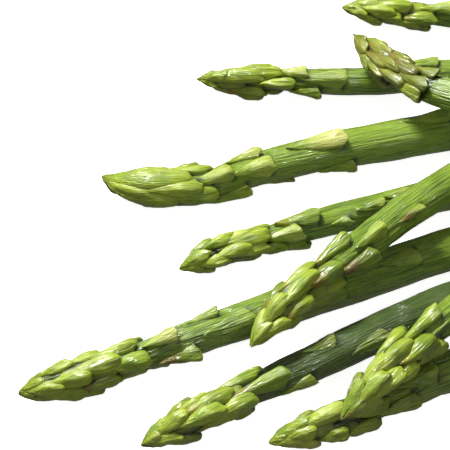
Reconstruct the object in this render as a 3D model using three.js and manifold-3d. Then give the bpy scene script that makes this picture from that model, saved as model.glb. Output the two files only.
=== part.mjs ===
// A loose bundle of ten green asparagus spears lying on a flat surface, in millimetres, +Z up.
// Seven spears lie on the surface, two lie across them and one lies across those two.
// The origin is under the middle of the bundle, on the surface; the tips point towards -X.
// Each spear is one grown body: a tapering stem with scale leaves on a spiral, packed into a head at the tip.

import * as THREE from 'three';
import { mergeVertices } from 'three/addons/utils/BufferGeometryUtils.js';
import Module from 'manifold-3d';

const wasm = await Module();
wasm.setup();

// Growth of a spear, shared by all ten.
const SPIRAL_STEP = 137.5; // degrees round the stem from one scale leaf to the next
const FIRST_LEAF = 3.8; // distance of the topmost leaf's foot from the tip
const TIP_SPIRAL = 19; // within this distance of the tip every leaf is on the spiral
const LAST_LEAF_CLEAR = 14; // bare stem above the cut end
const NECK_SHARE = 0.8; // stem radius just under the head, as a share of the radius at the cut end
const HEAD_CORE = 0.86; // radius of the stem inside the head, as a share of the neck
const SWELL = 60; // how far below the head the stem has swelled to its full radius
const TIP_RADIUS = 0.5;
const STEM_SIDES = 8;
const HEAD_RING_STEP = 8;
const STEM_RING_STEP = 18;
const CUT_BEVEL = 0.6; // the rounded rim of the cut end
const ROOT_DEPTH = 1.1; // how far a leaf's edges are sunk into the stem
const FINEST = 0.15; // detail smaller than this is left out

const GREEN = new THREE.Color('#7fa52f');

// Each axis runs from the tip to the cut end, and the radius is at the cut end. The leaves on the side that shows
// are given one by one as distance from the tip and degrees round the stem, down to bareTo; the rest follow the spiral.
const SPEARS = [
  {
    name: 'spear_1', radius: 6.4, head: 44, taper: 20, plump: 1, roll: 30, seed: 1, bareTo: 45,
    axis: [[-36, 90.8, 5.2], [-22, 88, 6], [-3, 85.4, 6.2], [56, 82, 6.3], [138, 84, 6.4]],
    leaves: [[21, 81], [24, 20], [28, 110], [33, 72], [40, 15]],
  },
  {
    name: 'spear_2', radius: 6.1, head: 42, taper: 18, plump: 1, roll: 200, seed: 2, bareTo: 75,
    axis: [[-89, 52, 5.2], [-67, 51, 5.9], [-32, 50.5, 5.6], [-7, 53, 5.7], [46, 57, 5.9], [103, 62, 6.1]],
    leaves: [[21, 33], [23, 111], [28, 6], [33, 72], [37, 3], [42, 102], [50, 39]],
  },
  {
    name: 'spear_3', radius: 6.5, head: 46, taper: 20, plump: 1.05, roll: 75, seed: 3, bareTo: 45,
    axis: [[-34, 57.2, 20], [-26, 42.2, 22], [-20, 33, 24], [-12, 24.8, 26.4], [21, 5, 32.8], [39, -9, 33.5], [100, -45, 33.4]],
    leaves: [[20, -21], [24, 60], [28, -42], [29, 33], [33, 75], [36, 18], [40, 84], [42, -20]],
  },
  {
    name: 'spear_4', radius: 7.1, head: 46, taper: 18, plump: 1.35, roll: 16, seed: 4, bareTo: 115,
    axis: [[-119, 5, 6.4], [-111, 0.8, 7.1], [-96, -0.6, 7.1], [-84, 1.2, 6.4], [-71, 8, 5.9], [-50, 14.8, 6.2], [-10, 24, 6.9], [86, 43, 7.2]],
    leaves: [[23, 90], [27, 6], [31.5, 42], [36, 78], [36, -39], [42, 15], [46.5, 105], [54, -24], [56.5, 60], [81.5, 12], [85, 129]],
  },
  {
    name: 'spear_5', radius: 5.9, head: 42, taper: 14, plump: 1, roll: 320, seed: 5, bareTo: 85,
    axis: [[-93, -32, 5], [-85, -27.8, 5.4], [-65, -19.3, 5.4], [-49, -13.8, 5.3], [-12, -2.6, 5.6], [104, 28, 5.9]],
    leaves: [[23, -3], [27, 66], [28.5, 24], [33.5, 99], [38.5, 54], [45.5, 0], [55.5, 57], [67.5, 21], [76.5, -6]],
  },
  {
    name: 'spear_6', radius: 6.2, head: 44, taper: 22, plump: 1, roll: 110, seed: 6, bareTo: 85,
    axis: [[-72, -69, 17.5], [-68.3, -64, 18], [-58.7, -52.9, 19], [-42.2, -37.4, 19.2], [-15, -14, 19.5], [88, 50, 20.9]],
    leaves: [[22, 75], [27.5, 3], [30, -45], [35, 36], [43, -21], [46.5, 78], [54.5, 30], [74, 78]],
  },
  {
    name: 'spear_7', radius: 6.6, head: 48, taper: 20, plump: 1, roll: 80, seed: 7, bareTo: 140,
    axis: [[-137.5, -76.5, 5], [-114, -69, 6], [-79, -54, 5.9], [-44, -39, 6], [-15, -27, 6.2], [53, -1, 6.5]],
    leaves: [[20, 33], [24, -45], [27.5, 87], [28.5, 15], [34.5, -24], [36.5, 48], [46.5, -3], [51, 84], [60.5, -30], [69, 36], [98, 50], [124, 20]],
  },
  {
    name: 'spear_8', radius: 6.6, head: 46, taper: 20, plump: 1, roll: 250, seed: 8, bareTo: 105,
    axis: [[-102, -93.5, 5], [-86, -84, 6.2], [-54, -67, 6], [-17, -48, 6.1], [74, -14, 6.5]],
    leaves: [[21, -25], [23, 36], [27, 72], [28, 3], [32.5, 60], [37.5, -50], [43, 27], [51.5, 93], [62, -20], [77, 48]],
  },
  {
    name: 'spear_9', radius: 6.4, head: 46, taper: 22, plump: 1, roll: 150, seed: 9, bareTo: 48,
    axis: [[-48, -92, 17], [-35, -78, 18.8], [-20.5, -64.5, 19.6], [16, -32, 19.8], [96, 36, 20.2]],
    leaves: [[20, -18], [24, 57], [28, 0], [33.5, 42], [37, 95], [40.5, -24]],
  },
  {
    name: 'spear_10', radius: 6.7, head: 46, taper: 20, plump: 1, roll: 20, seed: 10, bareTo: 60,
    axis: [[-67, -93.5, 5], [-47, -85, 6.2], [-30, -77.5, 6.1], [-19.5, -72, 6.2], [36, -50, 6.5], [104, -36, 6.7]],
    leaves: [[21.5, -3], [24, 60], [30.5, 102], [33, 30], [42, 70], [50, 10]],
  },
];

// A repeatable number from 0 to 1 for item k of a seed.
function draw(seed, k) {
  const x = Math.sin(seed * 12.9898 + k * 78.233) * 43758.5453;
  return x - Math.floor(x);
}

const mix = (a, b, t) => a + (b - a) * t;
const clamp = (x, low, high) => Math.min(Math.max(x, low), high);
const smooth = (x, low, high) => {
  const t = clamp((x - low) / (high - low), 0, 1);
  return t * t * (3 - 2 * t);
};

// The spear's axis by distance from the tip, with the directions up and sideways that its section is drawn in.
class Axis {
  constructor(points) {
    this.curve = new THREE.CatmullRomCurve3(points.map((p) => new THREE.Vector3(...p)), false, 'centripetal');
    this.curve.arcLengthDivisions = 400;
    this.length = this.curve.getLength();
  }

  // The point at this distance, angle round the axis (0 is up, 90 degrees is towards -Y) and radius.
  point(distance, angle, radius) {
    const at = clamp(distance / this.length, 0, 1);
    const centre = this.curve.getPointAt(at);
    const along = this.curve.getTangentAt(at);
    centre.addScaledVector(along, distance - at * this.length);
    const up = new THREE.Vector3(0, 0, 1).addScaledVector(along, -along.z).normalize();
    const side = new THREE.Vector3().crossVectors(along, up);
    return centre.addScaledVector(up, radius * Math.cos(angle)).addScaledVector(side, radius * Math.sin(angle));
  }
}

// Radius of the stem at a distance from the tip, under the leaves.
function stemRadius(spear, distance) {
  const neck = spear.radius * NECK_SHARE;
  const stem = mix(neck, spear.radius, smooth(distance, spear.head, spear.head + SWELL));
  const core = stem * mix(HEAD_CORE * spear.plump ** 0.5, 1, smooth(distance, spear.head * 0.6, spear.head * 1.1));
  const ogive = 1 - (1 - clamp(distance / spear.taper, 0, 1)) ** 1.8;
  return Math.max(TIP_RADIUS, core * ogive);
}

// A leaf by the distance of its foot from the tip: angle, length, half width and height above the stem.
function leafAt(spear, foot, degrees, size) {
  const onStem = smooth(foot, spear.head * 0.8, spear.head * 1.5);
  return {
    foot,
    angle: THREE.MathUtils.degToRad(degrees),
    length: Math.min(foot, (6.6 + Math.min(foot, 60) * 0.1) * size),
    halfWidth: Math.min(3.6, 1.9 + 0.045 * foot) * size,
    height: mix(Math.min(1.8, 0.7 + 0.05 * foot), 1.1, onStem) * size * spear.plump,
  };
}

// All leaves of a spear: the given ones, and those of the spiral that aren't on the side that shows.
function leavesOf(spear, length) {
  const leaves = spear.leaves.map(([foot, degrees], k) => (
    leafAt(spear, foot, degrees, mix(0.95, 1.1, draw(spear.seed, k + 300)))
  ));
  let foot = FIRST_LEAF;
  for (let k = 0; foot < length - LAST_LEAF_CLEAR; k += 1) {
    const degrees = SPIRAL_STEP * k + spear.roll + 14 * (draw(spear.seed, k + 100) - 0.5);
    const shows = Math.cos(THREE.MathUtils.degToRad(degrees - 30)) > -0.35;
    const given = foot > TIP_SPIRAL && foot < spear.bareTo && shows;
    if (!given) leaves.push(leafAt(spear, foot, degrees, mix(0.92, 1.08, draw(spear.seed, k))));
    const spacing = 1.4 + 0.035 * foot + 14 * smooth(foot, spear.head * 0.6, spear.head * 2.4);
    foot += spacing * mix(0.85, 1.15, draw(spear.seed, k + 200));
  }
  return leaves;
}

// A closed mesh from a list of rings of equal size, with a point at the start and a point at the end.
function tube(first, rings, last) {
  const sides = rings[0].length;
  const vertices = [first, ...rings.flat(), last];
  const end = vertices.length - 1;
  const faces = [];
  const at = (ring, side) => 1 + ring * sides + (side % sides);
  for (let side = 0; side < sides; side += 1) {
    faces.push([0, at(0, side + 1), at(0, side)]);
    faces.push([end, at(rings.length - 1, side), at(rings.length - 1, side + 1)]);
    for (let ring = 0; ring < rings.length - 1; ring += 1) {
      faces.push([at(ring, side), at(ring + 1, side + 1), at(ring + 1, side)]);
      faces.push([at(ring, side), at(ring, side + 1), at(ring + 1, side + 1)]);
    }
  }
  return geometry(vertices, faces);
}

function geometry(vertices, faces) {
  return new THREE.BufferGeometry().setFromPoints(vertices).setIndex(faces.flat());
}

function solid(shape) {
  const bare = new THREE.BufferGeometry()
    .setAttribute('position', shape.getAttribute('position'))
    .setIndex(shape.index);
  const merged = mergeVertices(bare, 1e-4);
  return new wasm.Manifold(new wasm.Mesh({
    numProp: 3,
    vertProperties: merged.attributes.position.array,
    triVerts: new Uint32Array(merged.index.array),
  }));
}

function stemSolid(spear, axis) {
  const distances = [];
  for (let d = 0.4; d < spear.head + HEAD_RING_STEP; d += HEAD_RING_STEP) distances.push(d);
  const bare = axis.length - CUT_BEVEL - distances.at(-1);
  const steps = Math.round(bare / STEM_RING_STEP);
  for (let k = 1; k <= steps; k += 1) distances.push(distances.at(-1) + bare / steps);
  distances.push(axis.length);
  const rings = distances.map((distance, k) => {
    const bevel = k === distances.length - 1 ? CUT_BEVEL : 0;
    const radius = stemRadius(spear, distance) - bevel;
    return Array.from({ length: STEM_SIDES }, (_, side) => (
      axis.point(distance, (2 * Math.PI * (side + 0.5)) / STEM_SIDES, radius)
    ));
  });
  return solid(tube(axis.point(-0.2, 0, 0), rings, axis.point(axis.length, 0, 0)));
}

// Rows of a leaf from foot to apex: share of its length, of its width and of its height.
const LEAF_ROWS = [
  { along: 0, wide: 0.8, high: 0 },
  { along: 0.06, wide: 0.95, high: 1 },
  { along: 0.5, wide: 0.95, high: 0.95 },
];
const LEAF_COLUMNS = [-1, -0.4, 0.4, 1];
const TIP_LEAF_COLUMNS = [-1, 0, 1];
const APEX_HIGH = 0.5;

// A leaf with the bud under it, as one body: crowned outside, sunk into the stem at its edges.
function leafSolid(spear, axis, leaf) {
  const surface = (along, sideways, high) => {
    const distance = leaf.foot - leaf.length * along;
    const core = stemRadius(spear, Math.max(distance, 0));
    const reach = Math.max(core, 1.4) + 0.5 * leaf.height;
    const closing = smooth(distance, -1, 5);
    return axis.point(distance, leaf.angle + (sideways * leaf.halfWidth) / reach, core + high * closing);
  };
  const across = leaf.foot < TIP_SPIRAL ? TIP_LEAF_COLUMNS : LEAF_COLUMNS;
  const rows = LEAF_ROWS.map(({ along, wide, high }) => across.map((column) => {
    const crown = 1 - column * column;
    const lift = high === 0 ? -ROOT_DEPTH : mix(-0.25, high * leaf.height, crown ** 0.6);
    return surface(along, column * wide, lift);
  }));
  const vertices = [...rows.flat(), surface(1, 0, APEX_HIGH * leaf.height)];
  const apex = vertices.length - 1;
  const middle = leaf.foot - 0.45 * leaf.length;
  vertices.push(axis.point(middle, leaf.angle, 0.25 * stemRadius(spear, middle)));
  const root = vertices.length - 1;
  const columns = across.length;
  const at = (row, column) => row * columns + column;
  const lastRow = rows.length - 1;
  const faces = [];
  for (let column = 0; column < columns - 1; column += 1) {
    for (let row = 0; row < lastRow; row += 1) {
      faces.push([at(row, column), at(row + 1, column + 1), at(row, column + 1)]);
      faces.push([at(row, column), at(row + 1, column), at(row + 1, column + 1)]);
    }
    faces.push([at(lastRow, column), apex, at(lastRow, column + 1)]);
    faces.push([at(0, column), at(0, column + 1), root]);
  }
  for (let row = 0; row < lastRow; row += 1) {
    faces.push([at(row + 1, 0), at(row, 0), root]);
    faces.push([at(row, columns - 1), at(row + 1, columns - 1), root]);
  }
  faces.push([apex, at(lastRow, 0), root]);
  faces.push([at(lastRow, columns - 1), apex, root]);
  return solid(geometry(vertices, faces));
}

// What is under the surface that the bundle lies on is cut away, so that each low spear rests on small flats.
const ground = solid(new THREE.BoxGeometry(600, 600, 40).translate(0, 0, -20));

function spearGeometry(spear) {
  const axis = new Axis(spear.axis);
  let whole = stemSolid(spear, axis);
  for (const leaf of leavesOf(spear, axis.length)) whole = whole.add(leafSolid(spear, axis, leaf));
  whole = whole.subtract(ground).simplify(FINEST);
  const bodies = whole.decompose().sort((a, b) => b.volume() - a.volume());
  const mesh = bodies[0].getMesh();
  return new THREE.BufferGeometry()
    .setAttribute('position', new THREE.BufferAttribute(mesh.vertProperties, 3))
    .setIndex(new THREE.BufferAttribute(mesh.triVerts, 1));
}

const bundle = new THREE.Group();
for (const spear of SPEARS) {
  const material = new THREE.MeshStandardMaterial({ color: GREEN, roughness: 0.35, metalness: 0 });
  const mesh = new THREE.Mesh(spearGeometry(spear), material);
  mesh.name = spear.name;
  bundle.add(mesh);
}

export default bundle;
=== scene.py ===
"""A loose bundle of ten green asparagus spears, glossy with oil, lying heaped on a pale surface.

Each spear is modelled straight, along X with its tip at the origin: a stem extruded ring by ring, and scale
leaves that are copied from a few modelled ones and wrapped round it. It is then laid along its own axis in
the bundle. Lengths are in millimetres up to there, and in metres in Blender's scene.
"""

from __future__ import annotations

import logging
import math
from dataclasses import dataclass, field, replace
from enum import Enum

import bpy
import numpy as np
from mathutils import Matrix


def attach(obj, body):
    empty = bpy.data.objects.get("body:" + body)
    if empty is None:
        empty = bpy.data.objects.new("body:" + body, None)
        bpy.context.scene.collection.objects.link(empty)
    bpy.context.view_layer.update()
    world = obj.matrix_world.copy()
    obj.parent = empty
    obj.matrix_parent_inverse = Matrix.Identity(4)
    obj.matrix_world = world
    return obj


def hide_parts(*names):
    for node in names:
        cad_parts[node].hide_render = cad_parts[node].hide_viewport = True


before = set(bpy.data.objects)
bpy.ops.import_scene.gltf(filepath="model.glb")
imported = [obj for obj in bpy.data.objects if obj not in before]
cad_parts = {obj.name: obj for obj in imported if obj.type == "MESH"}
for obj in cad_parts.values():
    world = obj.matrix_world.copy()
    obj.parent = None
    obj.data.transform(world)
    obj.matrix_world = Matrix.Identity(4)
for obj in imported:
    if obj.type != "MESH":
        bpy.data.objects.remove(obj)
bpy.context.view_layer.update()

logging.basicConfig(level=logging.INFO, format="%(name)s: %(message)s")
log = logging.getLogger("asparagus")

Socket = bpy.types.NodeSocket
Tree = bpy.types.NodeTree
Piece = bpy.types.Object
Finish = bpy.types.Material

MM = 0.001

# Kinds of node that are used many times.
MATH = "ShaderNodeMath"
MIX = "ShaderNodeMix"
NOISE = "ShaderNodeTexNoise"
RANGE = "ShaderNodeMapRange"

# Growth of a spear, shared by all ten. Angles are in degrees round the stem, and 0 is up.
SPIRAL_STEP = 137.5
SPIRAL_SWAY = 14.0
CAMERA_SIDE = 30.0  # the side that faces the camera
SHOWN_COSINE = -0.35  # of the angle from that side, down to which a leaf shows
FIRST_LEAF = 3.8
LAST_LEAF_CLEAR = 14.0
LEAF_CLEAR = 17.0  # below the head, how far along the stem the spiral's leaves stay from a given one
CLEAR_COSINE = -0.2  # of the angle from a given leaf, down to which that holds
TIP_REACH = 9.0  # a leaf with its foot nearer the tip than this is of the tip's form
BUD_SHARE = 0.85  # of the head's length, down to which the leaves are buds
UNDER_SHARE = 0.72  # of the head's length, down to which low leaves fill its gaps
HEAD_SPACING = 1.4
SPACING_GROWTH = 0.035
STEM_SPACING = 14.0
SPACING_RANGE = (0.85, 1.15)
SIZE_RANGE = (0.92, 1.08)
TONE_RANGE = (-0.5, 0.3)
AWAY_SHADE_TONE = 0.5  # tone added on the side that faces away: it browns the leaves there as painted shade

# A usual leaf's size at the tip, how much it grows for each millimetre from there, and the most it grows to.
USUAL_LENGTH = (8.5, 0.1, 13.0)
USUAL_HALF_WIDTH = (2.1, 0.055, 3.7)
USUAL_HEIGHT = (0.5, 0.075, 2.0)
STEM_LEAF_HEIGHT = 1.1
UNDER_HEIGHT = 0.7  # of the leaves that fill the gaps of a head
UNDER_WIDTH = 1.2  # their width beside a usual leaf's

# The stem's outline.
NECK_SHARE = 0.8
HEAD_CORE = 0.74
LEAF_BED = 0.86
SWELL = 60.0
NOSE_POWER = 1.8
NOSE_REACH = (0.2, 12.0)
CUT_BEVEL = 0.6
BEVEL_RUN = 0.8
BEVEL_RINGS = (0.15, 0.45, 0.9)
LAST_RINGS = (0.4, 0.1)
CUT_DEPTH = 0.1  # a face nearer the cut's plane than this is cut flesh
STEM_SIDES = 80
RING_STEP = 1.2

# Low ribs and hollows of the stem, modelled as bumps of its radius.
RIB_COUNTS = (11, 17)
RIB_HEIGHTS = (0.26, 0.10)  # at the head and on the stem
RIB_FADE = 40.0
WAVE_HEIGHTS = (0.10, 0.07)
OVAL_HEIGHT = 0.12
SKIN_CLEAR = 0.25  # room for the ribs inside the stem's outline

# Creases of the skin that are deep enough to be modelled.
PUCKER_SIZE = 1.1
PUCKER_STRETCH = 2.5
PUCKER_DEPTH = 0.6
PUCKER_LEVEL = 0.55
PUCKER_SHIFT = 7.0  # from one spear's creases to the next one's
STEM_PUCKER = 0.38

GAP_TOP = 0.6  # how high above the leaves' bed the shade of a gap begins
FOOT_SHADE = (-0.5, 0.4, 0.8, 2.6)  # behind a leaf's foot: where its shade starts, is full, fades and ends
SMOOTH_ANGLE = 45.0

# Where each kind of small difference takes its numbers from.
SWAY_DRAWS = 100
SPACING_DRAWS = 200
TONE_DRAWS = 350
WHIM_DRAWS = 400
WHIM_STEP = 97
WHIM_COUNT = 7
GIVEN_DRAWS = 60
SKIN_DRAWS = 600


class Freshness(Enum):
    """How fresh a spear's skin is."""

    FRESH = "fresh"
    DRYING = "drying"


class LeafForm(Enum):
    """How a scale leaf has grown.

    Attributes:
        TIP: a small low leaf that closes the tip.
        BUD: a full leaf of the head, with a bud under it.
        UNDER: a low leaf in a gap between the others of the head.
        BRACT: a leaf with a wide foot, below the head.
    """

    TIP = "tip"
    BUD = "bud"
    UNDER = "under"
    BRACT = "bract"


@dataclass(frozen=True)
class LeafShape:
    """The nominal size of a modelled leaf and its profiles.

    Attributes:
        length: from foot to apex.
        half_width: from the middle line to an edge.
        height: above the stem at its highest.
        rows: share of the length, with the share of width and of height there.
        belly: how full its section is; higher is fuller.
        edge: height of its thin edge, as a share of its height.
    """

    length: float
    half_width: float
    height: float
    rows: tuple[tuple[float, float, float], ...]
    belly: float
    edge: float


LEAF_SHAPES = {
    LeafForm.TIP: LeafShape(
        8.0, 2.4, 0.9,
        ((0.0, 0.70, 0.55), (0.04, 0.82, 0.85), (0.12, 0.93, 1.0), (0.3, 1.0, 1.0), (0.5, 0.92, 0.9),
         (0.7, 0.7, 0.75), (0.86, 0.42, 0.6), (0.96, 0.16, 0.45), (1.0, 0.03, 0.3)),
        2.2, 0.3,
    ),
    LeafForm.BUD: LeafShape(
        10.0, 3.2, 1.7,
        ((0.0, 0.66, 0.45), (0.03, 0.80, 0.86), (0.09, 0.92, 1.05), (0.2, 1.0, 1.12), (0.36, 0.98, 1.04),
         (0.54, 0.82, 0.88), (0.71, 0.58, 0.66), (0.86, 0.32, 0.46), (0.96, 0.12, 0.32), (1.0, 0.03, 0.24)),
        2.3, 0.1,
    ),
    LeafForm.BRACT: LeafShape(
        11.0, 3.4, 1.3,
        ((0.0, 1.0, 0.9), (0.015, 1.04, 1.06), (0.06, 1.03, 1.1), (0.16, 0.95, 0.98), (0.33, 0.82, 0.76),
         (0.52, 0.64, 0.56), (0.7, 0.44, 0.38), (0.86, 0.25, 0.22), (0.96, 0.1, 0.12), (1.0, 0.03, 0.03)),
        2.2, 0.06,
    ),
}
LEAF_SHAPES[LeafForm.UNDER] = LEAF_SHAPES[LeafForm.TIP]
LEAF_COLUMNS = 14
CROWN_POWER = 0.8
FOOT_BOW = 1.2  # how far the middle of a leaf's foot stands towards the cut end
BOW_SHARE = 0.35  # of the length, over which the bow fades
ROOT_DEPTH = 1.0


@dataclass(frozen=True)
class LeafRelief:
    """How the foot, folds and puckers of one leaf differ from the next one's.

    Heights are shares of the leaf's height, and widths across it are shares of its half width.

    Attributes:
        corner: how far ahead one corner of the foot stands, in millimetres.
        tooth: length of the tooth in the foot's line, in millimetres.
        tooth_side: how far from the middle the tooth stands.
        tooth_width: of the tooth.
        lean: how far the apex leans to a side.
        keel: height of the ridge along the leaf, least and most.
        keel_width: of the ridge.
        fold: height of the folds.
        pucker: height of the puckers.
        slant: how much higher one edge stands.
        curl: how far an apex stands off, in millimetres.
        body: height of the leaf without all these.
    """

    corner: float = 1.8
    tooth: float = 1.4
    tooth_side: float = 0.7
    tooth_width: float = 0.28
    lean: float = 0.35
    keel: tuple[float, float] = (0.1, 0.4)
    keel_width: float = 0.3
    fold: float = 0.10
    pucker: float = 0.07
    slant: float = 0.3
    curl: float = 0.6
    body: float = 1.05


RELIEF = LeafRelief()


@dataclass(frozen=True)
class Leaf:
    """A leaf in its place on a spear.

    Attributes:
        foot: distance of its foot from the spear's tip.
        angle: round the stem, in radians; 0 is up.
        length: from foot to apex.
        half_width: from its middle line to an edge.
        height: above the stem.
        form: how it has grown.
        tone: from -1 for a pale yellow foot to 1 for a dry, brown apex; on the side that faces away it also
            carries painted shade.
        whims: its small differences, from 0 to 1.
    """

    foot: float
    angle: float
    length: float
    half_width: float
    height: float
    form: LeafForm
    tone: float
    whims: tuple[float, ...]


def draw(seed: int, k: int) -> float:
    """Gives a repeatable number from 0 to 1 for item k of a seed."""
    x = math.sin(seed * 12.9898 + k * 78.233) * 43758.5453
    return x - math.floor(x)


def mix(a: float, b: float, t: float) -> float:
    """Gives the value that is the share t of the way from a to b."""
    return a + (b - a) * t


def smooth(x: float | np.ndarray, low: float, high: float) -> float | np.ndarray:
    """Rises from 0 at low to 1 at high with a soft start and end."""
    t = np.clip((x - low) / (high - low), 0.0, 1.0)
    return t * t * (3.0 - 2.0 * t)


def cosine(degrees: float) -> float:
    """Gives the cosine of an angle in degrees."""
    return math.cos(math.radians(degrees))


def grown(usual: tuple[float, float, float], foot: float) -> float:
    """Gives a usual size at a distance from the tip: it grows from the least to the most."""
    return min(usual[2], usual[0] + usual[1] * foot)


def linear(colour: str) -> tuple[float, float, float, float]:
    """Turns an sRGB hex colour to linear.

    Args:
        colour: six hex digits after a hash sign.

    Returns:
        Red, green, blue and an alpha of 1.
    """
    parts = [int(colour[k:k + 2], 16) / 255 for k in (1, 3, 5)]
    return (*(c / 12.92 if c <= 0.04045 else ((c + 0.055) / 1.055) ** 2.4 for c in parts), 1.0)


def node(
    tree: Tree, kind: str, links: dict | tuple = (), **settings: object,
) -> bpy.types.Node:
    """Adds a node with its settings and links.

    Args:
        tree: the node tree.
        kind: Blender's name of the node.
        links: a value, or the output socket that feeds it, by name or number of the input, or as a plain
            tuple for the first inputs in their order.
        settings: attributes of the node.

    Returns:
        The node.
    """
    made = tree.nodes.new(kind)
    for name, value in settings.items():
        setattr(made, name, value)
    for name, value in links.items() if isinstance(links, dict) else enumerate(links):
        if isinstance(value, Socket):
            tree.links.new(value, made.inputs[name])
        else:
            made.inputs[name].default_value = value
    return made


class Axis:
    """The line that a spear is laid along, by distance from its tip."""

    SAMPLES = 600

    def __init__(self, points: tuple[tuple[float, float, float], ...]) -> None:
        """Samples a centripetal Catmull-Rom curve.

        Args:
            points: the points that it passes through.
        """
        knots = [np.array(p, float) for p in points]
        places = np.array([self._at(knots, k / self.SAMPLES) for k in range(self.SAMPLES + 1)])
        steps = np.linalg.norm(np.diff(places, axis=0), axis=1)
        self.distance = np.concatenate([[0.0], np.cumsum(steps)])
        self.length = float(self.distance[-1])
        along = np.gradient(places, self.distance, axis=0)
        self.place = places
        self.along = along / np.linalg.norm(along, axis=1)[:, None]
        up = np.array([0.0, 0.0, 1.0]) - self.along * self.along[:, 2:3]
        self.up = up / np.linalg.norm(up, axis=1)[:, None]
        self.left = np.cross(self.up, self.along)

    @staticmethod
    def _at(knots: list[np.ndarray], share: float) -> np.ndarray:
        """Finds a point of the curve.

        Args:
            knots: the points that the curve passes through.
            share: of its parameter's range, from 0 to 1.

        Returns:
            The point.
        """
        last = len(knots) - 1
        k = min(int(share * last), last - 1)
        w = share * last - k
        p1, p2 = knots[k], knots[k + 1]
        p0 = knots[k - 1] if k > 0 else 2 * p1 - p2
        p3 = knots[k + 2] if k + 2 <= last else 2 * p2 - p1
        d0, d1, d2 = (math.sqrt(float(np.linalg.norm(b - a))) for a, b in ((p0, p1), (p1, p2), (p2, p3)))
        t1 = ((p1 - p0) / d0 - (p2 - p0) / (d0 + d1) + (p2 - p1) / d1) * d1
        t2 = ((p2 - p1) / d1 - (p3 - p1) / (d1 + d2) + (p3 - p2) / d2) * d1
        return p1 + t1 * w + (3 * (p2 - p1) - 2 * t1 - t2) * w**2 + (2 * (p1 - p2) + t1 + t2) * w**3

    def lay(self, straight: np.ndarray) -> np.ndarray:
        """Lays points of a straight spear along the axis.

        Args:
            straight: rows of distance from the tip, left and up.

        Returns:
            The points' places in the bundle.
        """
        at = np.clip(straight[:, 0], 0.0, self.length)

        def look_up(table: np.ndarray) -> np.ndarray:
            """Gives the table's rows at the points' distances."""
            return np.stack([np.interp(at, self.distance, table[:, k]) for k in range(3)], axis=1)

        beyond = (straight[:, 0] - at)[:, None] * look_up(self.along)
        left = straight[:, 1:2] * look_up(self.left)
        up = straight[:, 2:3] * look_up(self.up)
        return look_up(self.place) + beyond + left + up


def make_active(piece: Piece) -> None:
    """Selects a piece alone and makes it the active one.

    Args:
        piece: the piece.
    """
    bpy.ops.object.select_all(action="DESELECT")
    piece.select_set(True)
    bpy.context.view_layer.objects.active = piece


def select_where(piece: Piece, chosen: np.ndarray) -> None:
    """Selects the chosen vertices of a piece and leaves it in edit mode.

    Args:
        piece: the piece, which is the active one.
        chosen: True for each vertex to select.
    """
    bpy.ops.object.mode_set(mode="EDIT")
    bpy.ops.mesh.select_mode(type="VERT")
    bpy.ops.mesh.select_all(action="DESELECT")
    bpy.ops.object.mode_set(mode="OBJECT")
    piece.data.vertices.foreach_set("select", chosen)
    bpy.ops.object.mode_set(mode="EDIT")


def points_of(mesh: bpy.types.Mesh) -> np.ndarray:
    """Reads a mesh's vertices.

    Args:
        mesh: the mesh.

    Returns:
        One row for each vertex.
    """
    flat = np.empty(len(mesh.vertices) * 3)
    mesh.vertices.foreach_get("co", flat)
    return flat.reshape(-1, 3)


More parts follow.
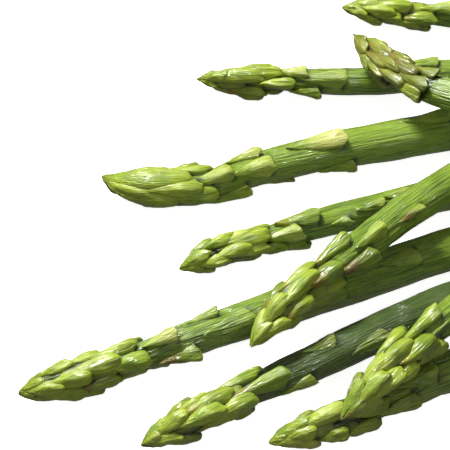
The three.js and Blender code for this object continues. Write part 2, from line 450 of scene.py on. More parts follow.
@dataclass
class ModelledLeaf:
    """One leaf of a form, modelled flat with its foot at the origin and its apex along X.

    Attributes:
        form: how it has grown.
        shape: its sizes and profiles.
        mesh: the closed mesh, in millimetres.
    """

    form: LeafForm
    shape: LeafShape = field(init=False)
    mesh: bpy.types.Mesh = field(init=False)

    def __post_init__(self) -> None:
        """Models the leaf of its form."""
        self.shape = LEAF_SHAPES[self.form]
        self.mesh = self._model()

    def _model(self) -> bpy.types.Mesh:
        """Shapes a grid to the leaf's outline and crown, and closes it below.

        Returns:
            The closed mesh, in millimetres.
        """
        shape = self.shape
        count = len(shape.rows) - 1
        bpy.ops.object.select_all(action="DESELECT")
        bpy.ops.mesh.primitive_grid_add(x_subdivisions=count, y_subdivisions=LEAF_COLUMNS, size=2.0)
        piece = bpy.context.object
        piece.name = f"leaf_{self.form.value}"
        flat = points_of(piece.data)
        row = np.rint((flat[:, 0] + 1) / 2 * count).astype(int)
        column = np.rint((flat[:, 1] + 1) / 2 * LEAF_COLUMNS).astype(int)
        for k in range(LEAF_COLUMNS + 1):
            across = k / LEAF_COLUMNS * 2 - 1
            crown = mix(shape.edge, 1.0, (1 - abs(across) ** shape.belly) ** CROWN_POWER)
            select_where(piece, column == k)
            bpy.ops.transform.translate(value=(0, 0, crown))
        for k, (place, wide, high) in enumerate(shape.rows):
            select_where(piece, row == k)
            here = k / count * 2 - 1
            bpy.ops.transform.resize(
                value=(1, wide * shape.half_width, high * shape.height), center_override=(here, 0, 0))
            bpy.ops.transform.translate(value=(place * shape.length - here, 0, 0))
        bpy.ops.mesh.select_all(action="SELECT")
        bpy.ops.mesh.region_to_loop()
        bpy.ops.mesh.extrude_edges_move(TRANSFORM_OT_translate={"value": (0, 0, -ROOT_DEPTH)})
        bpy.ops.mesh.edge_face_add()
        bpy.ops.mesh.select_all(action="SELECT")
        bpy.ops.mesh.normals_make_consistent(inside=False)
        bpy.ops.object.mode_set(mode="OBJECT")
        self._bow_foot(piece.data)
        rounding = piece.modifiers.new("rounding", "SUBSURF")
        rounding.levels = rounding.render_levels = 1
        bpy.ops.object.modifier_apply(modifier=rounding.name)
        mesh = piece.data
        bpy.data.objects.remove(piece)
        return mesh

    def _bow_foot(self, mesh: bpy.types.Mesh) -> None:
        """Draws the middle of the foot out towards the cut end, so that the foot's line is an arc.

        Args:
            mesh: the leaf's mesh.
        """
        points = points_of(mesh)
        across = np.clip(np.abs(points[:, 1]) / self.shape.half_width, 0, 1)
        near = 1 - np.clip(points[:, 0] / (BOW_SHARE * self.shape.length), 0, 1)
        points[:, 0] -= FOOT_BOW * (1 - across**2) * near
        mesh.vertices.foreach_set("co", points.ravel())

    def shares(self) -> tuple[np.ndarray, np.ndarray, np.ndarray]:
        """Tells where each vertex is on the leaf.

        Returns:
            Each vertex's share of the length, of the half width and of the height.
        """
        points = points_of(self.mesh)
        shape = self.shape
        return points[:, 0] / shape.length, points[:, 1] / shape.half_width, points[:, 2] / shape.height


@dataclass
class Spear:
    """A spear of asparagus: a stem with a cut end, and scale leaves packed into a head at its tip.

    Attributes:
        name: the node that it replaces.
        radius: of the stem at its cut end.
        head: length of the head.
        taper: distance over which the tip rounds out to full width.
        plump: how full the head and its leaves are.
        roll: degrees that the leaves' spiral starts at.
        seed: for its repeatable small differences.
        crowded_to: distance down to which the small leaves of the tip grow on every side.
        bare_to: distance from there on down to which the leaves that show are given one by one.
        axis: points from the tip to the cut end.
        leaves: foot distance, degrees, length, width, height and tone of the leaves that show.
        bright: how light the stem's green is, from -1 to 1; below 0 it is darkened and greyed as painted
            shade.
        blunt: radius of its nose at 1 mm from the tip.
        dry: how much drier its other leaves are than usual, as a tone.
        freshness: of its skin.
    """

    name: str
    radius: float
    head: float
    taper: float
    plump: float
    roll: float
    seed: int
    crowded_to: float
    bare_to: float
    axis: tuple[tuple[float, float, float], ...]
    leaves: tuple[tuple[float, float, float, float, float, float], ...]
    bright: float = 0.0
    blunt: float = 0.9
    dry: float = 0.0
    freshness: Freshness = Freshness.FRESH

    def stem_radius(self, distance: np.ndarray | float, core: float = HEAD_CORE) -> np.ndarray | float:
        """Gives the stem's radius at a distance from the tip.

        Args:
            distance: from the tip.
            core: the radius inside the head, as a share of the stem's.

        Returns:
            The radius.
        """
        neck = self.radius * NECK_SHARE
        stem = mix(neck, self.radius, smooth(distance, self.head, self.head + SWELL))
        share = mix(core * math.sqrt(self.plump), 1.0, smooth(distance, self.head * 0.6, self.head * 1.1))
        ogive = 1 - (1 - np.clip(distance / self.taper, 0, 1)) ** NOSE_POWER
        nose = self.blunt * np.sqrt(np.clip(distance, *NOSE_REACH))
        return np.maximum(nose, stem * share * ogive)

    def whims(self, k: int) -> tuple[float, ...]:
        """Gives leaf k its repeatable small differences, from 0 to 1."""
        return tuple(draw(self.seed, k + WHIM_DRAWS + WHIM_STEP * n) for n in range(WHIM_COUNT))

    def form_at(self, foot: float) -> LeafForm:
        """Tells how a leaf has grown by the distance of its foot from the tip."""
        below_tip = LeafForm.BUD if foot < self.head * BUD_SHARE else LeafForm.BRACT
        return LeafForm.TIP if foot < TIP_REACH else below_tip

    def spacing_at(self, foot: float) -> float:
        """Gives the usual distance from a leaf's foot to the next one's."""
        on_stem = float(smooth(foot, self.head * 0.6, self.head * 2.4))
        return HEAD_SPACING + SPACING_GROWTH * foot + STEM_SPACING * on_stem

    def usual_leaf(self, foot: float, degrees: float, size: float, k: int) -> Leaf:
        """Sizes a leaf by where it grows.

        Args:
            foot: distance of its foot from the tip.
            degrees: its angle round the stem; 0 is up.
            size: its size beside a usual leaf there.
            k: its number, for its repeatable small differences.

        Returns:
            The leaf.
        """
        on_stem = float(smooth(foot, self.head * 0.8, self.head * 1.5))
        # Leaves on the side that faces away are browned as painted shade.
        behind = float(smooth(-cosine(degrees - CAMERA_SIDE), 0.0, 0.8))
        return Leaf(
            foot=foot,
            angle=math.radians(degrees),
            length=min(foot, grown(USUAL_LENGTH, foot) * size),
            half_width=grown(USUAL_HALF_WIDTH, foot) * size,
            height=mix(grown(USUAL_HEIGHT, foot), STEM_LEAF_HEIGHT, on_stem) * size * self.plump,
            form=self.form_at(foot),
            tone=mix(*TONE_RANGE, draw(self.seed, k + TONE_DRAWS)) + AWAY_SHADE_TONE * behind + self.dry,
            whims=self.whims(k),
        )

    def all_leaves(self, length: float) -> list[Leaf]:
        """Lists the given leaves, and those of the spiral that aren't on the side that shows.

        Args:
            length: of the spear.

        Returns:
            The leaves.
        """
        found = []
        for k, (foot, degrees, long, wide, high, tone) in enumerate(self.leaves):
            whims = self.whims(k + GIVEN_DRAWS)
            angle = math.radians(degrees)
            found.append(Leaf(foot, angle, long, wide / 2, high, self.form_at(foot), tone, whims))
        foot = FIRST_LEAF
        k = 0
        while foot < length - LAST_LEAF_CLEAR:
            sway = SPIRAL_SWAY * (draw(self.seed, k + SWAY_DRAWS) - 0.5)
            degrees = SPIRAL_STEP * k + self.roll + sway
            leaf = self.usual_leaf(foot, degrees, mix(*SIZE_RANGE, draw(self.seed, k)), k)
            shows = cosine(degrees - CAMERA_SIDE) > SHOWN_COSINE
            given_side = shows and self.crowded_to < foot < self.bare_to
            blocked = foot > self.head and any(
                abs(foot - given[0]) < LEAF_CLEAR and cosine(degrees - given[1]) > CLEAR_COSINE
                for given in self.leaves)
            if not blocked and not given_side:
                found.append(leaf)
            elif foot < self.head * UNDER_SHARE:
                wider = leaf.half_width * UNDER_WIDTH
                found.append(replace(leaf, height=UNDER_HEIGHT, half_width=wider, form=LeafForm.UNDER))
            foot += self.spacing_at(foot) * mix(*SPACING_RANGE, draw(self.seed, k + SPACING_DRAWS))
            k += 1
        return found

    def model_stem(self, length: float) -> Piece:
        """Extrudes the stem ring by ring from its cut end to its tip.

        Args:
            length: of the spear.

        Returns:
            The straight stem, in millimetres.
        """
        bpy.ops.object.select_all(action="DESELECT")
        start = float(self.stem_radius(length))
        bpy.ops.mesh.primitive_circle_add(
            vertices=STEM_SIDES, radius=start - CUT_BEVEL, fill_type="NGON",
            location=(length, 0, 0), rotation=(0, math.pi / 2, 0))
        piece = bpy.context.object
        bpy.ops.object.transform_apply()
        bpy.ops.object.mode_set(mode="EDIT")
        bpy.ops.mesh.select_all(action="SELECT")
        bpy.ops.mesh.normals_make_consistent(inside=False)
        stations = [length - ring for ring in BEVEL_RINGS]
        count = round((length - 1.0) / RING_STEP)
        stations += [mix(stations[-1], LAST_RINGS[0], k / count) for k in range(1, count + 1)]
        stations.append(LAST_RINGS[1])
        here, radius = length, start - CUT_BEVEL
        for station in stations:
            rim = CUT_BEVEL * max(0.0, 1 - (length - station) / BEVEL_RUN) ** 2
            wanted = float(self.stem_radius(station)) - rim
            bpy.ops.mesh.extrude_region_move(TRANSFORM_OT_translate={"value": (station - here, 0, 0)})
            share = wanted / radius
            bpy.ops.transform.resize(value=(1, share, share), center_override=(station, 0, 0))
            here, radius = station, wanted
        bpy.ops.mesh.merge(type="CENTER")
        bpy.ops.object.mode_set(mode="OBJECT")
        return piece

    def roughen_stem(self, piece: Piece) -> None:
        """Gives the stem the low ribs and hollows of its skin, and pulls it slightly out of round.

        Args:
            piece: the straight stem.
        """
        points = points_of(piece.data)
        along, angle = points[:, 0], np.arctan2(-points[:, 1], points[:, 2])
        radius = np.hypot(points[:, 1], points[:, 2])
        phase = [2 * math.pi * draw(self.seed, k + SKIN_DRAWS) for k in range(6)]
        ribs = 0.5 * np.cos(RIB_COUNTS[0] * angle + phase[0] + 0.02 * along)
        ribs += 0.5 * np.cos(RIB_COUNTS[1] * angle + phase[1] - 0.03 * along)
        ribs *= 0.6 + 0.4 * np.sin(0.11 * along + phase[2] + 2 * angle)
        ribs *= mix(*RIB_HEIGHTS, smooth(along, self.head, self.head + RIB_FADE))
        waves = WAVE_HEIGHTS[0] * np.sin(0.17 * along + phase[3] + angle)
        waves += WAVE_HEIGHTS[1] * np.sin(0.37 * along + phase[4] - 2 * angle)
        oval = OVAL_HEIGHT * np.cos(2 * angle + phase[5] + 0.01 * along)
        soft = smooth(radius, 1.5, 3.5)
        stretched = radius + (ribs + waves + oval - SKIN_CLEAR) * soft
        points[:, 1] = -stretched * np.sin(angle)
        points[:, 2] = stretched * np.cos(angle)
        piece.data.vertices.foreach_set("co", points.ravel())

    def wrap_leaf(self, modelled: ModelledLeaf, leaf: Leaf) -> tuple[Piece, np.ndarray]:
        """Copies a modelled leaf and wraps it round the straight stem.

        Args:
            modelled: the leaf of its form.
            leaf: where it goes and how large it is.

        Returns:
            The copy, and what each of its vertices is, as leaf_growth tells it.
        """
        rise, across, high = modelled.shares()
        skew, notch, lean, keel, fold, pucker, curl = leaf.whims
        near_foot = 1 - smooth(rise, 0.0, 0.3)
        tooth_at = mix(-RELIEF.tooth_side, RELIEF.tooth_side, notch)
        tooth = np.exp(-(((across - tooth_at) / RELIEF.tooth_width) ** 2))
        corner = RELIEF.corner * (skew - 0.5) * across + RELIEF.tooth * notch * tooth
        distance = leaf.foot - leaf.length * rise + near_foot * corner
        across = across + mix(-RELIEF.lean, RELIEF.lean, lean) * np.clip(rise, 0, 1) ** 2
        ridge = np.exp(-(((across - 0.3 * (lean - 0.5)) / RELIEF.keel_width) ** 2))
        ridge = mix(*RELIEF.keel, keel) * ridge * (1 - 0.6 * rise)
        folds = np.sin(7.5 * across + 6.3 * fold + 2.5 * rise) * np.sin(3.1 * rise + 6.3 * pucker)
        puckers = RELIEF.pucker * np.sin(11 * rise + 6.3 * pucker + 4 * across)
        slant = mix(-RELIEF.slant, RELIEF.slant, skew) * across
        relief = RELIEF.body + ridge + RELIEF.fold * folds + puckers + slant
        core = self.stem_radius(np.maximum(distance, 0.0))
        bed = self.stem_radius(np.maximum(distance, 0.0), LEAF_BED)
        if leaf.form is LeafForm.UNDER:
            bed = core
        reach = np.maximum(bed, 1.4) + 0.5 * leaf.height
        closing = smooth(distance, -1.0, 5.0)
        lifted = curl * RELIEF.curl * smooth(rise, 0.6, 1.0) * smooth(leaf.foot, 12.0, 30.0)
        top = bed + high * leaf.height * closing * relief + lifted
        turn = leaf.angle + across * leaf.half_width / reach
        radius = np.where(high > 0, top, core + high * ROOT_DEPTH)
        placed = np.stack([distance, -radius * np.sin(turn), radius * np.cos(turn)], axis=1)
        copy = bpy.data.objects.new("leaf", modelled.mesh.copy())
        copy.data.vertices.foreach_set("co", placed.ravel())
        bpy.context.collection.objects.link(copy)
        return copy, self.leaf_growth(leaf, rise, across)

    def leaf_growth(self, leaf: Leaf, rise: np.ndarray, across: np.ndarray) -> np.ndarray:
        """Tells what each vertex of a leaf is, for the skin's colours.

        A low bract keeps the stem's colour, and one far down the stem blends into it towards its edges.

        Args:
            leaf: the leaf.
            rise: share of the way from foot to apex.
            across: share of the way from the middle line to an edge, below 0 on one side.

        Returns:
            For each vertex 1 for leaf, its share from foot to apex, its share to the edge and its tone.
        """
        edge = np.clip(np.abs(across), 0, 1)
        own = min(1.0, leaf.height / 1.5) ** 1.5 if leaf.form is LeafForm.BRACT else 1.0
        blend = smooth(leaf.foot, 1.5 * self.head, 1.8 * self.head)
        own = own * (1 - blend * smooth(rise, 0.4, 0.95)) * (1 - 0.7 * blend * smooth(edge, 0.6, 1.0))
        tone = mix(self.bright, leaf.tone, own) / 2 + 0.5
        return np.stack([own, np.clip(rise, 0, 1), edge, tone], axis=1)

    def build(
        self, modelled: dict[LeafForm, ModelledLeaf], skin: Finish, flesh: Finish,
    ) -> Piece:
        """Models the spear, lays it in the bundle and dresses it.

        Args:
            modelled: the modelled leaf of each form.
            skin: the finish of the stem and leaves.
            flesh: the finish of the cut end.

        Returns:
            The finished spear.
        """
        axis = Axis(self.axis)
        stem = self.model_stem(axis.length)
        self.roughen_stem(stem)
        forms = [np.tile([0.0, 0.0, 0.0, self.bright / 2 + 0.5], (len(stem.data.vertices), 1))]
        copies = []
        leaves = self.all_leaves(axis.length)
        for leaf in leaves:
            copy, form = self.wrap_leaf(modelled[leaf.form], leaf)
            copies.append(copy)
            forms.append(form)
        straight = np.concatenate([points_of(stem.data)] + [points_of(copy.data) for copy in copies])
        make_active(stem)
        for copy in copies:
            copy.select_set(True)
        bpy.ops.object.join()
        piece = bpy.context.object
        piece.name = f"asparagus_{self.name}"
        piece.data.name = piece.name
        self.pucker(piece, len(forms[0]))
        self.lay(piece, axis)
        self.keep_growth(piece, straight, np.concatenate(forms), self.crevices(straight, leaves))
        self.dress(piece, axis, skin, flesh)
        return piece

    def crevices(self, straight: np.ndarray, leaves: list[Leaf]) -> np.ndarray:
        """Tells how deep each vertex lies behind a leaf's foot or between the leaves of the head; the skin
        paints shade there by it.

        Args:
            straight: places on the straight spear, in millimetres.
            leaves: the spear's leaves.

        Returns:
            From 0 in the open to 1 in a crevice.
        """
        distance = straight[:, 0]
        angle = np.arctan2(-straight[:, 1], straight[:, 2])
        radius = np.hypot(straight[:, 1], straight[:, 2])
        bed = self.stem_radius(np.maximum(distance, 0.0), LEAF_BED)
        in_head = smooth(distance, 2.0, 8.0) * (1 - smooth(distance, self.head * 0.5, self.head * 0.8))
        deep = in_head * smooth(bed + GAP_TOP - radius, 0.0, 0.9)
        starts, full, fades, ends = FOOT_SHADE
        for leaf in leaves:
            behind = distance - leaf.foot
            turn = (angle - leaf.angle + math.pi) % (2 * math.pi) - math.pi
            beside = np.abs(turn) * radius / leaf.half_width
            top = self.stem_radius(leaf.foot, LEAF_BED) + 0.7 * leaf.height
            near = smooth(behind, starts, full) * (1 - smooth(behind, fades, ends))
            near *= 1 - smooth(beside, 0.8, 1.15)
            deep = np.maximum(deep, near * smooth(top - radius, 0.0, 0.8))
        return deep

    def pucker(self, piece: Piece, stem_count: int) -> None:
        """Puckers the skin of the straight spear, in creases that are drawn out along it.

        Args:
            piece: the straight spear, in millimetres.
            stem_count: how many of its first vertices are the stem's, which is smoother than the leaves.
        """
        depth = piece.vertex_groups.new(name="puckers")
        depth.add(list(range(stem_count)), STEM_PUCKER, "REPLACE")
        depth.add(list(range(stem_count, len(piece.data.vertices))), 1.0, "REPLACE")
        bpy.ops.object.empty_add(location=(PUCKER_SHIFT * self.seed, 0, 0))
        stretch = bpy.context.object
        stretch.scale = (PUCKER_STRETCH, 1, 1)
        texture = bpy.data.textures.new("puckers", "CLOUDS")
        texture.noise_scale = PUCKER_SIZE
        texture.noise_depth = 2
        make_active(piece)
        modifier = piece.modifiers.new("puckers", "DISPLACE")
        modifier.texture = texture
        modifier.texture_coords = "OBJECT"
        modifier.texture_coords_object = stretch
        modifier.strength = PUCKER_DEPTH
        modifier.mid_level = PUCKER_LEVEL
        modifier.vertex_group = depth.name
        bpy.ops.object.modifier_apply(modifier=modifier.name)
        piece.vertex_groups.clear()
        bpy.data.objects.remove(stretch)
        bpy.data.textures.remove(texture)

    def lay(self, piece: Piece, axis: Axis) -> None:
        """Lays the straight spear along its axis, flat where it meets the surface below.

        Args:
            piece: the straight spear, in millimetres.
            axis: the line that it is laid along.
        """
        placed = axis.lay(points_of(piece.data)) * MM
        placed[:, 2] = np.maximum(placed[:, 2], 0.0)
        piece.data.vertices.foreach_set("co", placed.ravel())
        piece.data.update()

    def keep_growth(
        self, piece: Piece, straight: np.ndarray, form: np.ndarray, deep: np.ndarray,
    ) -> None:
        """Keeps each vertex's place on the straight spear and on its leaf, for the skin's patterns.

        Args:
            piece: the spear.
            straight: places on the straight spear, in millimetres.
            form: leaf or stem, share from foot to apex, share to the edge, and tone.
            deep: from 0 in the open to 1 in a crevice.
        """
        for name, kind, key, values in (
            ("crevice", "FLOAT", "value", deep),
            ("grain", "FLOAT_VECTOR", "vector", straight),
            ("growth", "FLOAT_COLOR", "color", form),
        ):
            kept = piece.data.attributes.new(name, kind, "POINT")
            kept.data.foreach_set(key, values.ravel())

    def dress(
        self, piece: Piece, axis: Axis, skin: Finish, flesh: Finish,
    ) -> None:
        """Gives the spear its finishes and its place in the frame.

        Args:
            piece: the spear.
            axis: the line that it lies along.
            skin: the finish of the stem and leaves.
            flesh: the finish of the cut end.
        """
        piece.data.materials.clear()
        piece.data.materials.append(skin)
        piece.data.materials.append(flesh)
        end = axis.place[-1] * MM
        inwards = -axis.along[-1]
        for face in piece.data.polygons:
            face.material_index = int((np.array(face.center) - end) @ inwards < CUT_DEPTH * MM)
        make_active(piece)
        bpy.ops.object.shade_smooth_by_angle(angle=math.radians(SMOOTH_ANGLE))
        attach(piece, "root")
        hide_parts(self.name)


SPEARS = (
    Spear("spear_1", 6.4, 44, 20, 0.9, 30, 1, 19, 45,
          ((-36, 90.3, 5.2), (-22, 87.5, 6), (-3, 85.4, 6.2), (56, 82, 6.3), (138, 84, 6.4)),
          ((21, 81, 10, 6, 1.6, 0.2), (24, 20, 12, 6.5, 1.6, -0.2), (28, 110, 10, 6, 1.5, 0.3),
           (33, 72, 11, 6.5, 1.8, 0.4), (40, 15, 12, 7, 1.5, -0.3))),
    Spear("spear_2", 6.1, 42, 18, 1.0, 200, 2, 11, 75,
          ((-89, 52, 5.2), (-67, 51, 5.9), (-32, 50.5, 5.6), (-7, 53, 5.7), (46, 57, 5.9), (103, 62, 6.1)),
          ((21, 20, 18, 8, 1.2, 0.3), (23, 111, 11, 5.5, 1.5, 0.4), (28, 4, 13, 6, 1.5, 0.0),
           (33, 62, 11, 5.5, 2.0, -0.1), (37, 5, 10, 6.5, 1.5, -0.5), (42, 102, 10, 6, 1.7, 0.2),
           (50, 36, 14, 9, 1.3, -0.4)), 0.0, 0.6, 0.1),
    Spear("spear_3", 6.5, 46, 27, 1.05, 75, 3, 19, 165,
          ((-35, 59, 19.8), (-26, 42.2, 22), (-20, 33, 24), (-12, 24.8, 26.4), (21, 5, 32.5), (39, -9, 33.2),
           (100, -45, 33.1)),
          ((20, -21, 13, 4, 1.3, 0.7), (22, 12, 13, 4, 1.4, 0.6), (24, 50, 13, 4.5, 1.5, 0.7),
           (24, 84, 13, 4.5, 1.5, 0.5), (28, -42, 13, 4.5, 1.4, 0.7), (29, 29, 14, 5, 1.6, 0.6),
           (31, -8, 13, 4.5, 1.5, 0.7), (33, 66, 13, 5, 1.7, 0.5), (36, 14, 13, 5.5, 1.6, 0.8),
           (40, 84, 12, 7.5, 2.0, 0.1), (41, 42, 13, 6, 1.7, 0.5), (42, -20, 12, 6, 1.5, 0.5),
           (66, -62, 11, 7, 1.1, 0.2), (92, 64, 11, 7, 1.1, 0.0), (128, -58, 12, 8, 1.1, -0.2)),
          0.0, 0.45, 0.5, Freshness.DRYING),
    Spear("spear_4", 7.1, 46, 18, 1.35, 16, 4, 0, 115,
          ((-119, 5, 6.4), (-111, 0.8, 7.1), (-96, -0.6, 7.1), (-84, 1.2, 6.4), (-71, 8, 5.9),
           (-50, 14.8, 6.2), (-10, 24, 6.9), (86, 43, 7.2)),
          ((24, 88, 20, 8, 1.2, 0.1), (16, 60, 15, 8, 0.9, 0.0), (21, -72, 19, 8, 1.1, 0.0),
           (27, 6, 27, 12, 1.3, -0.1), (31.5, 42, 15, 7, 1.7, -0.3),
           (36, 72, 12.5, 7.5, 1.6, -0.1), (36, -39, 12, 6, 1.2, -0.2), (42, 15, 13, 7.5, 1.4, -0.5),
           (46.5, 105, 13, 7, 2.0, 0.2), (54, -24, 11, 6, 1.6, -0.5), (56.5, 40, 14, 8.5, 1.5, -0.4),
           (81.5, 2, 18, 10, 1.7, -0.9), (85, 106, 12, 7, 1.5, 0.3)), 0.5),
    Spear("spear_5", 5.9, 42, 14, 1.0, 320, 5, 19, 85,
          ((-93, -32, 5), (-85, -27.8, 5.4), (-65, -19.3, 5.4), (-49, -13.8, 5.3), (-12, -2.6, 5.6),
           (104, 28, 5.9)),
          ((21.5, 47, 11, 6, 1.8, -0.1), (23, -3, 11, 5.5, 1.4, -0.4), (27, 66, 10, 5.5, 1.6, -0.3),
           (28.5, 20, 13, 7, 1.8, -0.1), (33.5, 99, 10, 6, 1.5, 0.2), (38.5, 50, 12, 7, 2.0, -0.4),
           (45.5, 0, 13, 8, 1.4, 0.5), (55.5, 52, 5.5, 4, 1.2, -0.3), (67.5, 21, 9, 5, 1.0, -0.6),
           (76.5, 2, 9, 5, 1.1, -0.6))),
    Spear("spear_6", 6.2, 44, 22, 1.0, 110, 6, 19, 85,
          ((-72, -69, 17.5), (-68.3, -64, 18), (-58.7, -52.9, 19), (-42.2, -37.4, 19.2), (-15, -14, 19.5),
           (88, 50, 20.9)),
          ((22, 75, 11, 6, 1.5, 0.6), (27.5, 8, 15, 6, 1.8, 0.1), (30, -45, 12, 5.5, 1.5, 0.3),
           (35, 36, 11.5, 7.5, 2.2, 0.8), (43, -32, 14, 6.5, 2.2, 0.5), (47.5, 76, 14, 7, 2.4, 0.9),
           (54.5, 22, 11, 6.5, 1.5, 0.0), (69.5, 50, 9, 5, 1.5, 1.0)), 0.0, 0.75),
    Spear("spear_7", 6.6, 48, 20, 1.0, 80, 7, 19, 140,
          ((-137.5, -76.5, 5), (-114, -69, 6), (-79, -54, 5.9), (-44, -39, 6), (-15, -27, 6.2),
           (53, -1, 6.5)),
          ((20, 40, 12, 6.5, 1.9, 0.0), (24, -45, 11, 5, 1.2, 0.2), (27.5, 87, 11, 5.5, 1.5, 0.6),
           (28.5, 15, 14, 7.5, 1.9, -0.1), (34.5, -24, 13, 5.5, 1.6, -0.3), (36.5, 48, 11, 7.5, 2.1, -0.2),
           (46.5, -3, 10, 6.5, 1.9, -0.7), (51, 84, 11, 7, 2.2, 0.8), (60.5, -30, 9, 5, 1.5, -0.2),
           (69, 36, 15, 8, 0.7, 0.0), (98, 50, 12, 7, 1.1, 0.1), (124, 20, 12, 7, 1.1, -0.3)), 0.0, 1.1),
    # spear_8's stem is darkened and greyed by painted shade: its bright is -0.9.
    Spear("spear_8", 6.6, 46, 20, 1.0, 250, 8, 19, 105,
          ((-102, -93.2, 5), (-86, -84, 6.2), (-54, -67, 6), (-17, -48, 6.1), (74, -14, 6.5)),
          ((21, -25, 12, 4.5, 1.1, 0.3), (23, 38, 12, 7, 1.9, -0.1), (27, 72, 11, 6.5, 1.5, 0.4),
           (27, 3, 13.5, 6.5, 1.5, 0.45), (32.5, 56, 12.5, 7, 2.0, 0.0), (37.5, -42, 13, 6, 1.0, 0.3),
           (43, 27, 17, 7.5, 1.9, 0.5), (51.5, 85, 10, 6, 0.9, 0.3), (62, -20, 10, 6, 0.7, 0.2),
           (77, 48, 12, 6.5, 0.6, 0.1)), -0.9),
    Spear("spear_9", 6.4, 46, 22, 1.0, 150, 9, 17, 48,
          ((-48, -92, 17), (-35, -78, 18.8), (-20.5, -64.5, 19.6), (16, -32, 19.8), (96, 36, 20.2)),
          ((20, -18, 11, 6, 1.3, 0.2), (20, 58, 13, 7, 2.1, -0.1), (25.5, 75, 10, 6, 1.9, -0.1),
           (27, 3, 13, 7, 1.8, 0.4), (33.5, 42, 13, 7, 2.0, 0.4), (37, 95, 11, 6, 1.6, 0.3),
           (40.5, -24, 15, 6.5, 1.8, 0.1)), 0.0, 0.7, 0.2),
    Spear("spear_10", 6.7, 46, 20, 0.95, 20, 10, 14, 60,
          ((-67, -92.5, 5), (-47, -85, 6.2), (-30, -77.5, 6.1), (-19.5, -72, 6.2), (36, -50, 6.5),
           (104, -36, 6.7)),
          ((12, 45, 9, 6, 1.4, -0.1), (21.5, 0, 14, 6.5, 1.8, -0.4), (20.5, 85, 8, 6, 1.8, 0.0),
           (30.5, 102, 11, 6, 1.6, 0.3), (33, 30, 12, 7, 1.3, 0.3), (42, 70, 12, 7, 1.3, 0.2),
           (50, 10, 12, 7, 1.2, 0.1))),
)


@dataclass(frozen=True)
class SkinMaps:
    """What the skin's colours and relief follow, as sockets.

    Attributes:
        grain: the place on the straight spear, in millimetres.
        short: the same, drawn out a little lengthways.
        leaf: 0 on the stem and 1 on a leaf.
        rise: share of the way from a leaf's foot to its apex.
        edge: share of the way from a leaf's middle line to an edge.
        tone: on a leaf from pale at 0 to dry at 1, and on the stem from painted shade, dark and grey, at 0
            to light at 1.
        ribs: fine ribs that run along the spear.
        wrinkles: fine wrinkles.
        blotches: lighter and darker areas.
    """

    grain: Socket
    short: Socket
    leaf: Socket
    rise: Socket
    edge: Socket
    tone: Socket
    ribs: Socket
    wrinkles: Socket
    blotches: Socket


